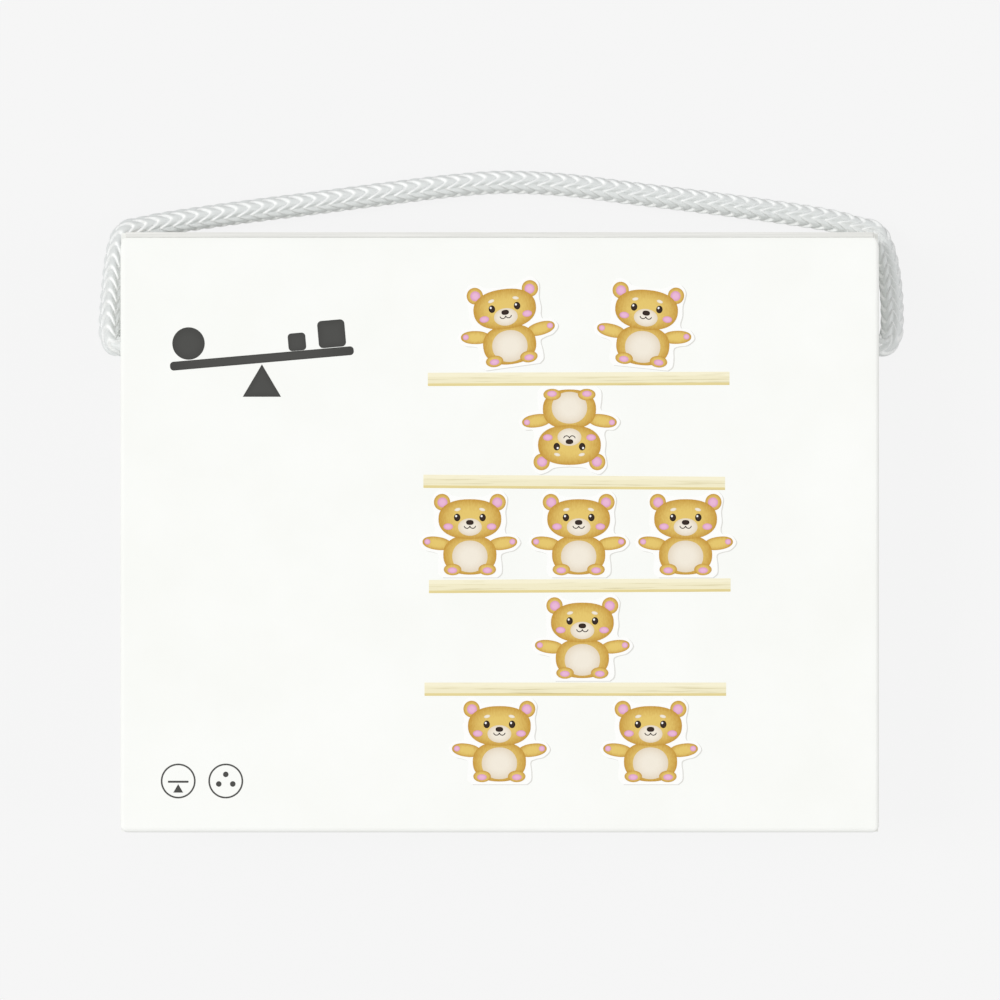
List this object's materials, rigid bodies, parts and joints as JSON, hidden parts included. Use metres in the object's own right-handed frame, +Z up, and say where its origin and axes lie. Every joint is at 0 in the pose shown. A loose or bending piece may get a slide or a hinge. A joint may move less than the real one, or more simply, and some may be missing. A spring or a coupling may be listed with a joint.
{
  "type": "boxed balance game",
  "caption": "Flat board carton with a hinged tuck-in cover and a braided rope handle, packed with flat wooden animal figures and planks for a stacking and balancing game.",
  "frame": {"origin": "under the middle of the carton, on the surface that it lies on", "axes": "+X along the carton's width, +Y towards the rope handle, +Z up out of the printed cover"},
  "size_m": [0.2231, 0.1828, 0.034],
  "materials": {
    "white_board": "coated white carton board, satin",
    "brown_board": "uncoated brown carton board, matte",
    "rope_white": "braided white synthetic rope",
    "painted_wood": "wood with a printed face, satin",
    "pale_wood": "bare sanded pale wood"
  },
  "bodies": {
    "base": {"base_panel": "white_board", "hinge_wall": "white_board", "tuck_wall": "white_board", "left_outer_wall": "white_board", "right_outer_wall": "white_board", "left_rolled_wall": "white_board", "right_rolled_wall": "white_board", "hinge_tab_left": "brown_board", "hinge_tab_right": "brown_board", "tuck_tab_left": "brown_board", "tuck_tab_right": "brown_board"},
    "cover": {"cover_panel": "white_board"},
    "tuck_flap": {"cover_tuck_flap": "white_board"},
    "handle": {"handle_rope": "rope_white", "left_rope_end": "rope_white", "right_rope_end": "rope_white"},
    "figure_1": {"figure_1": "painted_wood"},
    "figure_2": {"figure_2": "painted_wood"},
    "figure_3": {"figure_3": "painted_wood"},
    "figure_4": {"figure_4": "painted_wood"},
    "figure_5": {"figure_5": "painted_wood"},
    "figure_6": {"figure_6": "painted_wood"},
    "figure_7": {"figure_7": "painted_wood"},
    "figure_8": {"figure_8": "painted_wood"},
    "figure_9": {"figure_9": "painted_wood"},
    "plank_1": {"plank_1": "pale_wood"},
    "plank_2": {"plank_2": "pale_wood"},
    "plank_3": {"plank_3": "pale_wood"},
    "plank_4": {"plank_4": "pale_wood"}
  },
  "joints": [
    {"name": "cover_hinge", "type": "hinge", "parent": "base", "child": "cover", "pos_m": [0, -0.0815, 0.0326], "axis": [1, 0, 0], "range_deg": [0, 176]},
    {"name": "tuck_flap_hinge", "type": "hinge", "parent": "cover", "child": "tuck_flap", "pos_m": [0, 0.0792, 0.0326], "axis": [1, 0, 0], "range_deg": [0, 44]},
    {"name": "handle_swing", "type": "hinge", "parent": "base", "child": "handle", "pos_m": [0, 0.0515, 0.017], "axis": [1, 0, 0], "range_deg": [0, 105], "deforming": ["handle_rope"]},
    {"name": "figure_1_lift", "type": "slide", "parent": "base", "child": "figure_1", "axis": [0, 0, 1], "range_m": [0, 0.0105]},
    {"name": "figure_2_lift", "type": "slide", "parent": "base", "child": "figure_2", "axis": [0, 0, 1], "range_m": [0, 0.0105]},
    {"name": "figure_3_lift", "type": "slide", "parent": "base", "child": "figure_3", "axis": [0, 0, 1], "range_m": [0, 0.0105]},
    {"name": "figure_4_lift", "type": "slide", "parent": "base", "child": "figure_4", "axis": [0, 0, 1], "range_m": [0, 0.0105]},
    {"name": "figure_5_lift", "type": "slide", "parent": "base", "child": "figure_5", "axis": [0, 0, 1], "range_m": [0, 0.0105]},
    {"name": "figure_6_lift", "type": "slide", "parent": "base", "child": "figure_6", "axis": [0, 0, 1], "range_m": [0, 0.0105]},
    {"name": "figure_7_lift", "type": "slide", "parent": "base", "child": "figure_7", "axis": [0, 0, 1], "range_m": [0, 0.0105]},
    {"name": "figure_8_lift", "type": "slide", "parent": "base", "child": "figure_8", "axis": [0, 0, 1], "range_m": [0, 0.0105]},
    {"name": "figure_9_lift", "type": "slide", "parent": "base", "child": "figure_9", "axis": [0, 0, 1], "range_m": [0, 0.0105]},
    {"name": "plank_1_slide", "type": "slide", "parent": "base", "child": "plank_1", "axis": [1, 0, 0], "range_m": [-0.0195, 0.0195]},
    {"name": "plank_2_slide", "type": "slide", "parent": "base", "child": "plank_2", "axis": [1, 0, 0], "range_m": [-0.0195, 0.0195]},
    {"name": "plank_3_slide", "type": "slide", "parent": "base", "child": "plank_3", "axis": [1, 0, 0], "range_m": [-0.0195, 0.0195]},
    {"name": "plank_4_slide", "type": "slide", "parent": "base", "child": "plank_4", "axis": [1, 0, 0], "range_m": [-0.0195, 0.0195]}
  ],
  "couplings": [
    {"joint": "tuck_flap_hinge", "follows": "cover_hinge", "ratio": 0.25}
  ]
}
